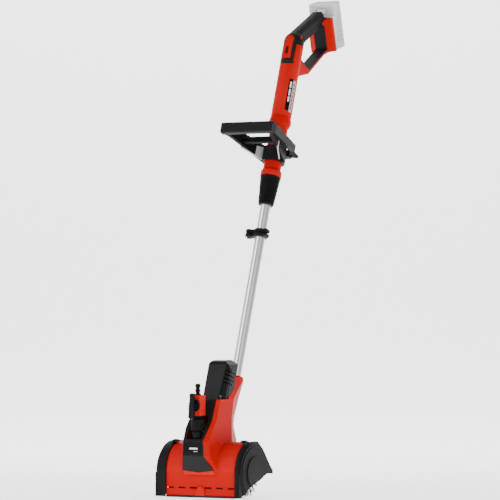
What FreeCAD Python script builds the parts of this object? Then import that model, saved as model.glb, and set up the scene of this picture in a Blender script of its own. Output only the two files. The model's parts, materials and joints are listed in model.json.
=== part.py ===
"""Cordless roller brush for patios: a brush head with a motor tower, a telescopic
aluminium tube, a second handle and a loop handle with a battery behind it.

Millimetres. +X is the machine's left, -Y its front, +Z up, Z = 0 the ground.
While it is being drawn, the roller axis stands over Y = 0. The tube
and what rides on it are drawn in a leaning frame (x, p, s): s runs up the tube's axis
from the ground, p is square to it, towards the rear.
"""
import FreeCAD, Part
import math
import os

V = FreeCAD.Vector

# Driving dimensions
TUBE_LEAN_DEG = 19.5          # tube axis from vertical, towards the rear
TUBE_RADIUS = 14.0            # aluminium tube, outside
TUBE_WALL = 1.5
BRUSH_RADIUS = 60.0           # tips of the bristles
LEFT_BRUSH_X = 105.0          # outer ends of the two brush halves
RIGHT_BRUSH_X = 118.0
CORE_RADIUS = 22.0            # moulded core that holds the bristles
HOOD_RADIUS = 76.0            # outside of the hood
HOOD_HALF_WIDTH = 101.5       # hood between the end caps
CAP_RADIUS = 79.0
LEFT_CAP_X = 120.0            # outsides of the end caps
RIGHT_CAP_X = 136.0
WALL = 3.0                    # moulded shells
LEG_HALF_WIDTH = 11.0         # gearbox leg between the brush halves
SOCKET_TOP_S = 323.0          # where the tube leaves the tower
NUT_BOTTOM_S = 800.0
NUT_TOP_S = 880.0
SLEEVE_RADIUS = 23.5          # telescopic sleeve, outside
SLEEVE_TOP_S = 1034.0
HANDLE_RADIUS = 28.0          # handle body above the sleeve
GRIP_HALF_WIDTH = 18.0        # loop handle
BATTERY_HALF_WIDTH = 37.5
BATTERY_LENGTH = 128.0
BATTERY_THICKNESS = 55.0
BATTERY_TILT_DEG = 15.3       # battery's long axis from vertical, towards the front
RUNNING_CLEARANCE = 0.05      # radial, shafts in their bushes
BODY_GAP = 0.4                # between pieces that move past each other

# Places worked out from them
ROLLER_Z = BRUSH_RADIUS
HOOD_CENTRE = (3.0, 66.0)     # y, z of the hood's arc
CAP_CENTRE = (1.0, 64.0)
REAR_SLOPE = [(27, 143), (49, 126), (64, 111), (88, 83), (101, 71)]   # back of the caps (y, z)
LEAN = math.radians(TUBE_LEAN_DEG)

# Gear train: upright motor and layshaft joined by spur gears, then a bevel pair
GEAR_MODULE = 1.0
MOTOR_PINION_TEETH = 10
SPUR_TEETH = 40
BEVEL_PINION_TEETH = 10
BEVEL_GEAR_TEETH = 24
BEVEL_MODULE = 1.25
BEVEL_BACKLASH = 0.37         # taken off each flank
SPUR_BACKLASH = 0.10
MOTOR_Y = GEAR_MODULE * (MOTOR_PINION_TEETH + SPUR_TEETH) / 2
SPUR_Z = 165.0                # underside of the spur gear
SPUR_WIDTH = 7.0
MOTOR_Z = 184.0               # lower end of the motor can
MOTOR_LENGTH = 76.0
MOTOR_RADIUS = 20.0


# --- Helpers -------------------------------------------------------------------

def prism_x(outline, x0, x1):
    """A (y, z) outline extruded from x0 to x1."""
    points = [V(x0, y, z) for y, z in outline]
    face = Part.Face(Part.makePolygon(points + points[:1]))
    return face.extrude(V(x1 - x0, 0, 0))


def prism_y(outline, y0, y1):
    """An (x, z) outline extruded from y0 to y1."""
    points = [V(x, y0, z) for x, z in outline]
    face = Part.Face(Part.makePolygon(points + points[:1]))
    return face.extrude(V(0, y1 - y0, 0))


def prism_z(outline, z0, z1):
    """An (x, y) outline extruded from z0 to z1."""
    points = [V(x, y, z0) for x, y in outline]
    face = Part.Face(Part.makePolygon(points + points[:1]))
    return face.extrude(V(0, 0, z1 - z0))


def box(x0, x1, y0, y1, z0, z1):
    """A box between two corners."""
    return Part.makeBox(x1 - x0, y1 - y0, z1 - z0, V(x0, y0, z0))


def rod(start, end, radius):
    """A round bar between two points."""
    along = V(*end) - V(*start)
    return Part.makeCylinder(radius, along.Length, V(*start), along)


def ring(start, end, outer, inner):
    """A round tube between two points."""
    return rod(start, end, outer).cut(rod(start, end, inner))


def cone(start, end, radius_start, radius_end):
    """A round taper between two points."""
    along = V(*end) - V(*start)
    return Part.makeCone(radius_start, radius_end, along.Length, V(*start), along)


def loft(sections):
    """A straight-sided solid through closed polygons with equal corner counts."""
    wires = []
    for points in sections:
        corners = [V(*p) for p in points]
        wires.append(Part.makePolygon(corners + corners[:1]))
    return Part.makeLoft(wires, True, True)


def lean(shape):
    """Turns a shape from the leaning (x, p, s) frame into the machine's frame."""
    return shape.rotated(V(0, 0, 0), V(1, 0, 0), -TUBE_LEAN_DEG)


def mirror_x(shape):
    """The same piece on the other side."""
    return shape.mirror(V(0, 0, 0), V(1, 0, 0))


def rounded(shape, radius, chosen):
    """Rounds the edges for which chosen(edge) is true."""
    edges = [edge for edge in shape.Edges if chosen(edge)]
    return shape.makeFillet(radius, edges)


def runs_along(edge, axis):
    """True when a straight edge runs along the given axis."""
    if not isinstance(edge.Curve, Part.Line):
        return False
    direction = edge.Curve.Direction
    return abs(abs(direction.dot(axis)) - 1) < 1e-6


def joined(first, *others):
    """One solid from pieces that touch or overlap."""
    shape = first.multiFuse(list(others)) if others else first
    return shape.removeSplitter()


def main_solid(shape):
    """The largest solid of a result that may hold loose slivers."""
    return max(shape.Solids, key=lambda solid: solid.Volume)


# --- Brush head: hood, lip and end caps --------------------------------------------

def rear_outline(inset):
    """(y, z) outline of the caps' and hood's back, from the top down; inset makes it smaller."""
    slope = [(y - 0.68 * inset, z - 0.73 * inset) for y, z in REAR_SLOPE]
    top_z = REAR_SLOPE[0][1] - inset
    return [(1, 30), (1, top_z), (slope[0][0], top_z)] + slope[1:] + [(slope[-1][0], 30)]


def hood_section(radius, front_y, bottom_z, inset):
    """Half-round roof over the roller with a near-vertical front wall, as a solid."""
    y, z = HOOD_CENTRE
    roof = rod((-HOOD_HALF_WIDTH, y, z), (HOOD_HALF_WIDTH, y, z), radius)
    upper = box(-HOOD_HALF_WIDTH, HOOD_HALF_WIDTH, -200, 200, z, 300)
    front = box(-HOOD_HALF_WIDTH, HOOD_HALF_WIDTH, front_y, y, bottom_z, z)
    rear = prism_x(rear_outline(inset), -HOOD_HALF_WIDTH, HOOD_HALF_WIDTH).common(upper)
    return joined(roof.common(upper), front, rear)


SLOT_Z = 26.0                 # row of slots along the front of the hood
SLOT_LENGTH = 20.0
SLOT_PITCH = 34.0
FIRST_SLOT_X = 21.5
HOOD_BOTTOM_Z = 6.0


def hood_shell():
    """Red hood: roof and front wall, with a row of slots and a central boss."""
    front_y = HOOD_CENTRE[0] - HOOD_RADIUS
    outer = hood_section(HOOD_RADIUS, front_y, HOOD_BOTTOM_Z, 2)
    inner = hood_section(HOOD_RADIUS - WALL, front_y + WALL, 0, 2 + WALL)
    shell = outer.cut(inner)
    boss = prism_y([(-13, HOOD_BOTTOM_Z), (-12, 18), (-4, 30), (4, 30), (12, 18),
                    (13, HOOD_BOTTOM_Z)], front_y - 3, front_y + 1)
    shell = joined(shell, boss)
    for side in (-1, 1):
        for i in range(3):
            centre = side * (FIRST_SLOT_X + i * SLOT_PITCH)
            half = SLOT_LENGTH / 2
            shell = shell.cut(box(centre - half, centre + half, front_y - 5, front_y + 5,
                                  SLOT_Z - 2, SLOT_Z + 2))
    leg_mouth = box(-LEG_HALF_WIDTH - 0.5, LEG_HALF_WIDTH + 0.5, -26, 26, 100, 200)
    pipe_hole = rod(PIPE_BEND, SPRAY_PLACE, PIPE_RADIUS + 0.5)
    return shell.cut(leg_mouth).cut(pipe_hole)


def front_lip():
    """Dark sealing strip along the bottom edge of the hood's front wall."""
    front_y = HOOD_CENTRE[0] - HOOD_RADIUS
    strip = box(-HOOD_HALF_WIDTH, HOOD_HALF_WIDTH, front_y - 1.5, front_y + 5, 1.2, HOOD_BOTTOM_Z)
    return strip


def cap_outline_cut():
    """The space below the diagonal edge of an end cap, which is left open."""
    outline = [(-62, -5), (-57, 4), (-44, 14), (-30, 25), (-8, 35), (19, 43), (42, 52),
               (67, 60), (96, 58), (140, 58), (140, -5)]
    return prism_x(outline, 90, 140)


BUSH_LENGTH = 8.0
BUSH_OUTER = 8.0
AXLE_END_RADIUS = 5.0


def cap_block(x0, x1, inset):
    """Solid of the cap's side outline: a round front and the sloping back."""
    y, z = CAP_CENTRE
    return joined(rod((x0, y, z), (x1, y, z), CAP_RADIUS - inset),
                  prism_x(rear_outline(inset), x0, x1))


def cap_bevel(x0, x1, inset):
    """The cap's bevelled outer edge, which narrows by the inset from x0 to x1."""
    y, z = CAP_CENTRE
    wide = [(x0, *point) for point in rear_outline(0)]
    narrow = [(x1, *point) for point in rear_outline(inset)]
    return joined(cone((x0, y, z), (x1, y, z), CAP_RADIUS, CAP_RADIUS - inset), loft([wide, narrow]))


def end_cap(outer_x):
    """Left end cap: rim band, bevelled outer edge and side plate with stepped discs."""
    y, z = CAP_CENTRE
    inner_x = HOOD_HALF_WIDTH + 0.2
    band = cap_block(inner_x, outer_x - 9, 0)
    bevel = cap_bevel(outer_x - 9, outer_x - 4, 6)
    step = cone((outer_x - 4, y, z), (outer_x - 2.5, y, z), CAP_RADIUS - 12, CAP_RADIUS - 14)
    disc = cone((outer_x - 2.6, y, z), (outer_x, y, z), 43, 41)
    outer = joined(band, bevel, step, disc)
    shell = outer.cut(cap_block(inner_x - 1, outer_x - 8, WALL))
    shell = shell.cut(cap_block(inner_x - 1, outer_x - 6.5, 9))
    front_foot = box(inner_x, outer_x - 5, y - CAP_RADIUS, y - CAP_RADIUS + 16, 2.5, z)
    foot_space = box(inner_x - 1, outer_x - 8, y - CAP_RADIUS + WALL, y + 20, 0, z - 10)
    shell = joined(shell, front_foot.cut(foot_space))
    hub = rod((outer_x - BUSH_LENGTH - 4, 0, ROLLER_Z), (outer_x - 5, 0, ROLLER_Z),
              BUSH_OUTER + 3)
    shell = joined(shell, hub)
    seat = rod((outer_x - BUSH_LENGTH - 5, 0, ROLLER_Z), (outer_x - 4, 0, ROLLER_Z), BUSH_OUTER)
    shell = shell.cut(cap_outline_cut()).cut(box(90, 140, -120, 120, -20, 2.5))
    latch_bay = box(inner_x - 1, inner_x + 9.5, LATCH_Y - 9, LATCH_Y + 9, LATCH_Z - 6, 200)
    shell = shell.cut(seat).cut(latch_bay)
    for y0 in (LATCH_Y - 12, LATCH_Y + 9):
        lug = box(LATCH_X - 4, LATCH_X + 4, y0, y0 + 3, LATCH_Z - 7, LATCH_Z + 2)
        shell = joined(shell, lug)
    return main_solid(shell.cut(latch_pin()))


LATCH_Y = -25.0
LATCH_Z = 138.5               # pivot of the cap latch
LATCH_X = HOOD_HALF_WIDTH + 4.5
LATCH_PIN_RADIUS = 1.5


def cap_latch():
    """Small rocking tab on top of the left cap, with its lug and the raised finger end."""
    hub = rod((LATCH_X, LATCH_Y - 7, LATCH_Z), (LATCH_X, LATCH_Y + 7, LATCH_Z), 3.2)
    tab = prism_y([(LATCH_X - 13.0, LATCH_Z + 2.5), (LATCH_X - 4.2, LATCH_Z + 1.6),
                   (LATCH_X - 3.0, LATCH_Z - 1.0), (LATCH_X + 3.0, LATCH_Z + 0.5),
                   (LATCH_X + 3.5, LATCH_Z + 6.0), (LATCH_X - 5.0, LATCH_Z + 9.0),
                   (LATCH_X - 12.0, LATCH_Z + 7.0)], LATCH_Y - 7, LATCH_Y + 7)
    pin = rod((LATCH_X, LATCH_Y - 9, LATCH_Z), (LATCH_X, LATCH_Y + 9, LATCH_Z),
              LATCH_PIN_RADIUS + RUNNING_CLEARANCE)
    return joined(hub, tab).cut(pin)


def latch_pin():
    """Pin that the left cap latch rocks on, held in the cap's band."""
    return rod((LATCH_X, LATCH_Y - 12, LATCH_Z), (LATCH_X, LATCH_Y + 12, LATCH_Z), LATCH_PIN_RADIUS)


# --- Tower: shells, trim, label panel and motor housing ------------------------------

TOWER_TOP_Z = 250.0
FAIRING_TOP_Z = 305.0
ROOF_S = 318.0                # roof of the tower, square to the tube
OPENING_HALF_WIDTH = 22.0     # arched opening in the front trim
OPENING_TOP_Z = 215.0
TRIM_THICKNESS = 4.0

# Half-sections of the tower at each height: (x, y) corners, front to rear
TOWER_SECTIONS = [
    (60.0, [(45, -80), (52, -64), (56, 10), (30, 66), (12, 72)]),
    (108.0, [(31, -111), (41, -96), (46, 12), (24, 74), (10, 82)]),
    (147.0, [(29, -111), (38, -96), (40, 18), (16, 82), (8, 93)]),
    (178.0, [(34, -90), (39, -76), (37, 22), (12, 76), (6, 86)]),
    (200.0, [(34, -72), (39, -58), (36, 24), (12, 78), (6, 88)]),
    (TOWER_TOP_Z, [(34, -51), (38, -38), (37, 32), (14, 98), (6, 110)]),
    (FAIRING_TOP_Z, [(20, -51), (21, -38), (22.5, 114), (14, 131), (6, 136)]),
]


def tower_loft(inset):
    """The tower's outer form, or its hollow when it is set in by the wall."""
    sections = []
    for z, corners in TOWER_SECTIONS:
        half = []
        for i, (x, y) in enumerate(corners):
            inward = inset if i < 2 else -inset
            half.append((x - inset, y + (0 if i in (1, 2) else inward), z))
        sections.append(half + opposite(half))
    return loft(sections)


def opposite(corners):
    """The same corners on the other side, in the order that closes the outline."""
    return [(-x, y, z) for x, y, z in reversed(corners)]


def above_rim():
    """Space over the tower's open rim, in front of the part that rises to the tube."""
    rim = [(-140, TOWER_TOP_Z), (0, TOWER_TOP_Z), (28, 264), (49, 284), (61, FAIRING_TOP_Z),
           (61, 400), (-140, 400)]
    roof = lean(box(-60, 60, -60, 80, ROOF_S, 420))
    return joined(prism_x(rim, -90, 90), roof)


def trim_volume():
    """The curved plate that closes the front of the tower, without its opening."""
    side = [(-111, 147), (-90, 178), (-72, 200), (-51, 250), (-47, 250), (-68, 201),
            (-86.5, 180.5), (-105, 152), (-105, 147)]
    front = [(-29, 147), (-34, 178), (-34, 250), (34, 250), (34, 178), (29, 147)]
    return prism_x(side, -40, 40).common(prism_y(front, -115, -40))


def front_trim():
    """Dark front trim with its arched opening and the lip over the label panel."""
    opening = box(-OPENING_HALF_WIDTH, OPENING_HALF_WIDTH, -120, -40, 151, 200)
    arch = Part.makeCylinder(OPENING_HALF_WIDTH, 80, V(0, -120, 196), V(0, 1, 0))
    arch = arch.common(box(-30, 30, -120, -30, 190, OPENING_TOP_Z))
    return trim_volume().cut(opening).cut(arch)


def panel_volume(extra):
    """The folded plate below the trim; extra makes it thicker towards the inside."""
    side = [(-111, 147), (-111, 108), (-81, 60), (-77.5 + extra, 60), (-107 + extra, 109),
            (-107 + extra, 147)]
    front = [(-29, 147), (-31, 108), (-45, 71), (0, 65), (45, 71), (31, 108), (29, 147)]
    return prism_x(side, -50, 50).common(prism_y(front, -115, -60))


def label_panel():
    """Dark folded panel on the front of the tower, with a shallow field for a mark."""
    field = box(-24, 24, -112, -110.4, 118, 140)
    return panel_volume(0).cut(field)


def screw_places():
    """(y, z) places of the screws that hold the two tower shells together."""
    return [(-52, 150), (72, 162), (-35, 226)]


def screw(y, z, head_x):
    """One shell screw along X: head in the right shell, thread in the left one."""
    head = rod((-head_x, y, z), (-head_x + 3, y, z), 3.5)
    shank = rod((-head_x + 3, y, z), (12, y, z), 1.8)
    socket = rod((-head_x - 1, y, z), (-head_x + 1.5, y, z), 1.6)
    return joined(head, shank).cut(socket)


def screw_space(y, z, head_x):
    """The room that one shell screw takes up, without its drive recess."""
    head = rod((-head_x, y, z), (-head_x + 3, y, z), 3.5)
    return joined(head, rod((-head_x + 3, y, z), (12, y, z), 1.8))


def tower_screws():
    """The screws of the tower: three along X for the shells, one for the tube."""
    screws = [screw(y, z, 30) for y, z in screw_places()]
    return Part.makeCompound(screws + [socket_screw()])


def tower_shell(side):
    """One half of the tower's hollow body; side is 1 for the left half, -1 for the right."""
    outer = tower_loft(0).cut(above_rim())
    hollow = tower_loft(WALL).cut(lean(box(-60, 60, -60, 80, ROOF_S - WALL, 420)))
    bottom = tower_loft(WALL).common(box(-80, 80, -140, 140, 59, 64))
    shell = outer.cut(hollow).cut(bottom.translated(V(0, 0, -3)))
    shell = shell.cut(trim_volume()).cut(panel_volume(2))
    for y, z in screw_places():
        boss = rod((-60, y, z), (60, y, z), 5).common(outer)
        shell = joined(shell, boss)
    shell = shell.cut(box(-24, 24, -125, -60, 151, 214))
    y, z = HOOD_CENTRE
    under_hood = joined(rod((-80, y, z), (80, y, z), HOOD_RADIUS),
                        prism_x(rear_outline(2), -80, 80),
                        box(-80, 80, y - HOOD_RADIUS, 200, 0, z))
    shell = shell.cut(under_hood)
    shell = shell.cut(socket_form()).cut(socket_screw_form(0.1))
    shell = shell.cut(housing_form(0.2))
    shell = shell.cut(gear_case_form(0.5)).cut(motor_form(1.0))
    half = main_solid(shell.common(box(0, 80, -150, 150, 0, 400)))
    if side < 0:
        half = mirror_x(half)
        for y, z in screw_places():
            half = half.cut(rod((-80, y, z), (-30, y, z), 3.7))
    for y, z in screw_places():
        half = half.cut(screw_space(y, z, 30))
    return main_solid(half)


def housing_form(extra):
    """Outer form of the motor housing; extra makes it larger all round."""
    side = [(-25.6, 248), (13, 339), (20, 347), (30, 350), (52, 350), (66, 341), (71, 326),
            (60.5, 305), (48, 284), (27, 264), (0, 252.5), (0, 248)]
    plan = [(20.7, -109), (34, -88), (34, -56), (22, -36)]
    plan = plan + [(-x, p) for x, p in reversed(plan)]
    front = [(-34, 240), (-34, 325), (-30, 338), (-19, 350), (19, 350), (30, 338), (34, 325),
             (34, 240)]
    form = prism_x(side, -40, 40)
    form = form.common(lean(prism_z(plan, 150, 450)))
    form = form.common(prism_y(front, -60, 120))
    if extra:
        centre = V(0, 20, 290)
        grown = form.copy()
        grown.translate(V(0, 0, 0) - centre)
        grown.scale(1 + extra / 45)
        grown.translate(centre)
        return grown
    return form


def motor_housing():
    """Black motor housing: a hood open at the bottom, with cooling slots and a side groove."""
    outer = housing_form(0)
    hollow = outer.copy()
    centre = V(0, 18, 262)
    hollow.translate(V(0, 0, 0) - centre)
    hollow.scale(0.92)
    hollow.translate(centre)
    shell = outer.cut(hollow).cut(box(-28, 28, -18, 60, 240, 262))
    for side in (-1, 1):
        near, far = sorted((side * 16, side * 40))
        for i in range(4):
            y = 10 - 4 * i
            z = 324.5 - 9.5 * i
            shell = shell.cut(prism_x([(y, z), (y + 30, z - 9.5), (y + 30, z - 12.5), (y, z - 3)],
                                      near, far))
        groove = box(side * 34 - 1.5, side * 34 + 1.5, -84, -81, 200, 334)
        shell = shell.cut(lean(groove))
    return main_solid(shell.cut(motor_form(1.0)))


# --- Gearbox, motor and roller ------------------------------------------------------

SHAFT_RADIUS = 4.0
JOURNAL_RADIUS = 6.0          # drive shaft where it runs in the leg
LEG_RADIUS = 20.0             # round foot of the gearbox leg about the roller axis


def gear_case_form(extra):
    """Outer form of the gearbox: round foot, slim leg and a wide top for the gears."""
    half = LEG_HALF_WIDTH + extra
    foot = rod((-half, 0, ROLLER_Z), (half, 0, ROLLER_Z), LEG_RADIUS + extra)
    leg = box(-half, half, -16 - extra, 16 + extra, ROLLER_Z, 160)
    top = box(-25 - extra, 25 + extra, -25 - extra, 36 + extra, 160 - extra, 180 + extra)
    return joined(foot, leg, top)


def gear_case():
    """Left half of the gearbox case, with its hollow for the gears and shafts."""
    case = gear_case_form(0)
    inner = rod((-8.5, 0, ROLLER_Z), (8.5, 0, ROLLER_Z), 17.5)
    shaft_way = rod((0, 0, ROLLER_Z), (0, 0, 163), 8)
    gears = box(-22.5, 22.5, -22.5, 33, 162.5, 177.5)
    case = case.cut(inner).cut(shaft_way).cut(gears)
    case = case.cut(rod((-20, 0, ROLLER_Z), (20, 0, ROLLER_Z), 9.5))
    case = case.cut(rod((0, MOTOR_Y, 170), (0, MOTOR_Y, 185), 6))
    case = case.cut(bearing_space())
    return case.common(box(0, 80, -80, 80, 0, 220))


def bearing_space():
    """Seats for the two layshaft bearings."""
    lower = rod((0, 0, 108), (0, 0, 114), 9.5)
    upper = rod((0, 0, 154), (0, 0, 160), 9.5)
    return Part.makeCompound([lower, upper])


def plain_bearings():
    """All plain bearings: two on the layshaft, two in the leg, two in the end caps."""
    running = RUNNING_CLEARANCE
    bearings = [
        ring((0, 0, 108), (0, 0, 114), 9.5, SHAFT_RADIUS + running),
        ring((0, 0, 154), (0, 0, 160), 9.5, SHAFT_RADIUS + running),
    ]
    for side in (-1, 1):
        bearings.append(ring((side * 8.5, 0, ROLLER_Z), (side * LEG_HALF_WIDTH, 0, ROLLER_Z),
                             9.5, JOURNAL_RADIUS + running))
        outer_x = LEFT_CAP_X if side > 0 else RIGHT_CAP_X
        bearings.append(ring((side * (outer_x - BUSH_LENGTH - 4.5), 0, ROLLER_Z),
                             (side * (outer_x - 4.5), 0, ROLLER_Z),
                             BUSH_OUTER, AXLE_END_RADIUS + running))
    return Part.makeCompound(bearings)


def spur_gear(teeth, module, width, backlash):
    """A straight-toothed gear on +Z from z = 0, one tooth centred on +Y."""
    pitch_radius = module * teeth / 2
    root = pitch_radius - 1.2 * module
    tip = pitch_radius + 0.95 * module
    half_pitch = math.pi / teeth / 2
    flank = math.radians(20)
    points = []
    for i in range(teeth):
        middle = 2 * math.pi * i / teeth
        for radius in (root, pitch_radius, tip):
            narrowing = (radius - pitch_radius) * math.tan(flank) / pitch_radius * 1.35
            half = half_pitch - narrowing - backlash / pitch_radius
            points.append((radius, middle, half))
    outline = []
    for i in range(teeth):
        three = points[3 * i:3 * i + 3]
        for radius, middle, half in three:
            outline.append((radius * math.sin(middle - half), radius * math.cos(middle - half)))
        for radius, middle, half in reversed(three):
            outline.append((radius * math.sin(middle + half), radius * math.cos(middle + half)))
    return prism_z(outline, 0, width)


def bevel_wheel(teeth, mate_teeth, module, face, backlash):
    """A straight bevel gear about +Z whose cone apex is the origin."""
    pitch_radius = module * teeth / 2
    height = module * mate_teeth / 2
    cone_length = math.hypot(pitch_radius, height)
    inner_scale = 1 - face / cone_length
    sine = pitch_radius / cone_length
    cosine = height / cone_length
    half_pitch = math.pi / teeth / 2

    def section(scale, angle):
        corners = []
        for depth in (-1.3, 0.8):
            radius = (pitch_radius + depth * module * cosine) * scale
            z = (height - depth * module * sine) * scale
            half = half_pitch - depth * module * 0.36 / pitch_radius - backlash / pitch_radius
            corners.append((radius, z, half))
        (r0, z0, h0), (r1, z1, h1) = corners
        places = [(r0, z0, angle - h0), (r1, z1, angle - h1), (r1, z1, angle + h1),
                  (r0, z0, angle + h0)]
        return [(r * math.cos(a), r * math.sin(a), z) for r, z, a in places]

    root_outer = pitch_radius - 1.22 * module * cosine
    root_z = height + 1.22 * module * sine
    blank = Part.makeCone(root_outer * inner_scale, root_outer, root_z * (1 - inner_scale),
                          V(0, 0, root_z * inner_scale))
    wheel = [blank]
    for i in range(teeth):
        angle = 2 * math.pi * i / teeth
        wheel.append(loft([section(inner_scale, angle), section(1.0, angle)]))
    return wheel[0].multiFuse(wheel[1:]).removeSplitter()


def bevel_gear():
    """Large bevel gear on the roller's drive shaft, teeth towards the right."""
    wheel = bevel_wheel(BEVEL_GEAR_TEETH, BEVEL_PINION_TEETH, BEVEL_MODULE, 5.0, BEVEL_BACKLASH)
    wheel = wheel.rotated(V(0, 0, 0), V(0, 0, 1), 180.0 / BEVEL_GEAR_TEETH)
    wheel = wheel.rotated(V(0, 0, 0), V(0, 1, 0), 90)
    return wheel.translated(V(0, 0, ROLLER_Z)).cut(hex_bar(-20, 20, 5.1, 0.0))


def layshaft_bar():
    """The round bar of the layshaft."""
    return rod((0, 0, ROLLER_Z + 15), (0, 0, SPUR_Z + SPUR_WIDTH + 3), SHAFT_RADIUS)


def layshaft():
    """Upright shaft with the small bevel pinion cut on its lower end."""
    wheel = bevel_wheel(BEVEL_PINION_TEETH, BEVEL_GEAR_TEETH, BEVEL_MODULE, 5.0, BEVEL_BACKLASH)
    hub = rod((0, 0, 15.2), (0, 0, 24), 4.8)
    pinion = joined(wheel, hub).translated(V(0, 0, ROLLER_Z))
    return joined(pinion, layshaft_bar())


def lay_spur():
    """Large spur gear on top of the layshaft."""
    wheel = spur_gear(SPUR_TEETH, GEAR_MODULE, SPUR_WIDTH, SPUR_BACKLASH)
    wheel = wheel.translated(V(0, 0, SPUR_Z))
    return wheel.cut(layshaft_bar())


def motor_bar():
    """The round bar of the motor shaft."""
    return rod((0, MOTOR_Y, SPUR_Z - 2), (0, MOTOR_Y, MOTOR_Z + MOTOR_LENGTH + 16), 2.0)


def motor_shaft():
    """Motor shaft with its pinion, a gap of which faces the spur gear's tooth."""
    wheel = spur_gear(MOTOR_PINION_TEETH, GEAR_MODULE, SPUR_WIDTH + 2, SPUR_BACKLASH)
    wheel = wheel.rotated(V(0, 0, 0), V(0, 0, 1), 180.0 / MOTOR_PINION_TEETH)
    return joined(wheel.translated(V(0, MOTOR_Y, SPUR_Z - 1)), motor_bar())


def motor_form(extra):
    """The space that the motor and its fan take up."""
    top = MOTOR_Z + MOTOR_LENGTH + 18
    return rod((0, MOTOR_Y, MOTOR_Z - 3), (0, MOTOR_Y, top), MOTOR_RADIUS + extra)


def motor_can():
    """Steel can of the motor with its two end plates."""
    top = MOTOR_Z + MOTOR_LENGTH
    can = ring((0, MOTOR_Y, MOTOR_Z), (0, MOTOR_Y, top), MOTOR_RADIUS, MOTOR_RADIUS - 2)
    ends = [can]
    for z in (MOTOR_Z, top - 4):
        ends.append(ring((0, MOTOR_Y, z), (0, MOTOR_Y, z + 4), MOTOR_RADIUS - 1,
                         2.0 + RUNNING_CLEARANCE))
    return joined(*ends)


def rotor():
    """Wound rotor with its commutator."""
    core = rod((0, MOTOR_Y, MOTOR_Z + 12), (0, MOTOR_Y, MOTOR_Z + 54), 16)
    for i in range(8):
        angle = math.radians(45 * i)
        x = 16 * math.cos(angle)
        y = MOTOR_Y + 16 * math.sin(angle)
        core = core.cut(rod((x, y, MOTOR_Z + 11), (x, y, MOTOR_Z + 55), 2.2))
    commutator = rod((0, MOTOR_Y, MOTOR_Z + 54), (0, MOTOR_Y, MOTOR_Z + 66), 7)
    return joined(core, commutator).cut(motor_bar())


def cooling_fan():
    """Radial fan on top of the motor."""
    z = MOTOR_Z + MOTOR_LENGTH + 3
    blades = [ring((0, MOTOR_Y, z), (0, MOTOR_Y, z + 2), 18, 2)]
    for i in range(9):
        blade = box(4, 17.5, MOTOR_Y - 0.7, MOTOR_Y + 0.7, z + 1.5, z + 10)
        blades.append(blade.rotated(V(0, MOTOR_Y, 0), V(0, 0, 1), 40 * i))
    blades.append(ring((0, MOTOR_Y, z), (0, MOTOR_Y, z + 10), 5, 2))
    return joined(*blades).cut(motor_bar())


def hex_bar(x0, x1, across, extra):
    """A six-sided bar along the roller's axis; across is its half width over flats."""
    radius = (across + extra) / math.cos(math.pi / 6)
    outline = []
    for i in range(6):
        angle = math.pi / 3 * i
        outline.append((radius * math.cos(angle), ROLLER_Z + radius * math.sin(angle)))
    return prism_x(outline, x0, x1)


def drive_shaft():
    """Six-sided drive shaft with round journals at the leg and at both ends."""
    pieces = [hex_bar(-RIGHT_BRUSH_X + 2, LEFT_BRUSH_X - 2, 5.1, 0)]
    for side, brush_x, cap_x in ((1, LEFT_BRUSH_X, LEFT_CAP_X), (-1, RIGHT_BRUSH_X, RIGHT_CAP_X)):
        pieces.append(rod((side * (brush_x - 2), 0, ROLLER_Z), (side * (cap_x - 5.5), 0, ROLLER_Z),
                          AXLE_END_RADIUS))
        pieces.append(rod((side * 8.5, 0, ROLLER_Z), (side * 12.0, 0, ROLLER_Z), JOURNAL_RADIUS))
    return joined(*pieces)


def brush_core(end_x):
    """Left roller core: tube with spoked ends that slides over the drive shaft."""
    inner_x = LEG_HALF_WIDTH + 1.5
    outer = rod((inner_x, 0, ROLLER_Z), (end_x - 3, 0, ROLLER_Z), CORE_RADIUS)
    bar = hex_bar(-140, 140, 5.1, 0.0)
    core = outer.cut(bar).cut(drive_shaft())
    for i in range(6):
        angle = math.radians(60 * i + 30)
        y = 13.5 * math.cos(angle)
        z = ROLLER_Z + 13.5 * math.sin(angle)
        core = core.cut(rod((inner_x + 4, y, z), (130, y, z), 3.6))
    return core


def bristles(end_x):
    """Left bristle field: the closed outer form of the tufts on its core."""
    return ring((LEG_HALF_WIDTH + 1.5, 0, ROLLER_Z), (end_x, 0, ROLLER_Z), BRUSH_RADIUS, CORE_RADIUS)


# --- Water supply --------------------------------------------------------------------

PIPE_Y = -87.0                # upright axis of the hose connection
PIPE_RADIUS = 4.0
PIPE_BEND = (0.0, PIPE_Y, 126.0)
SPRAY_PLACE = (0.0, -35.0, 119.5)
VALVE_Z = (210.0, 262.0)
VALVE_HALF_WIDTH = 15.5
VALVE_AXIS_Z = 236.0
VALVE_FRONT_Y = PIPE_Y - 14.5


def valve_body():
    """Red valve block with its upright waterway and the bore for the spindle."""
    z0, z1 = VALVE_Z
    block = box(-VALVE_HALF_WIDTH, VALVE_HALF_WIDTH, VALVE_FRONT_Y, PIPE_Y + 15, z0, z1)
    block = rounded(block, 3.0, lambda edge: runs_along(edge, V(0, 0, 1)))
    bracket = box(-6, 6, PIPE_Y + 12, -58, z0 + 3, z0 + 11)
    block = joined(block, bracket.cut(trim_volume()))
    waterway = rod((0, PIPE_Y, z0 - 5), (0, PIPE_Y, z1 + 5), 4.0)
    return main_solid(block.cut(waterway).cut(spindle_bore(0.05)))


def spindle_bore(clearance):
    """The space that the valve's spindle turns in."""
    return rod((0, VALVE_FRONT_Y - 30, VALVE_AXIS_Z), (0, PIPE_Y + 8, VALVE_AXIS_Z), 5.0 + clearance)


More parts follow.
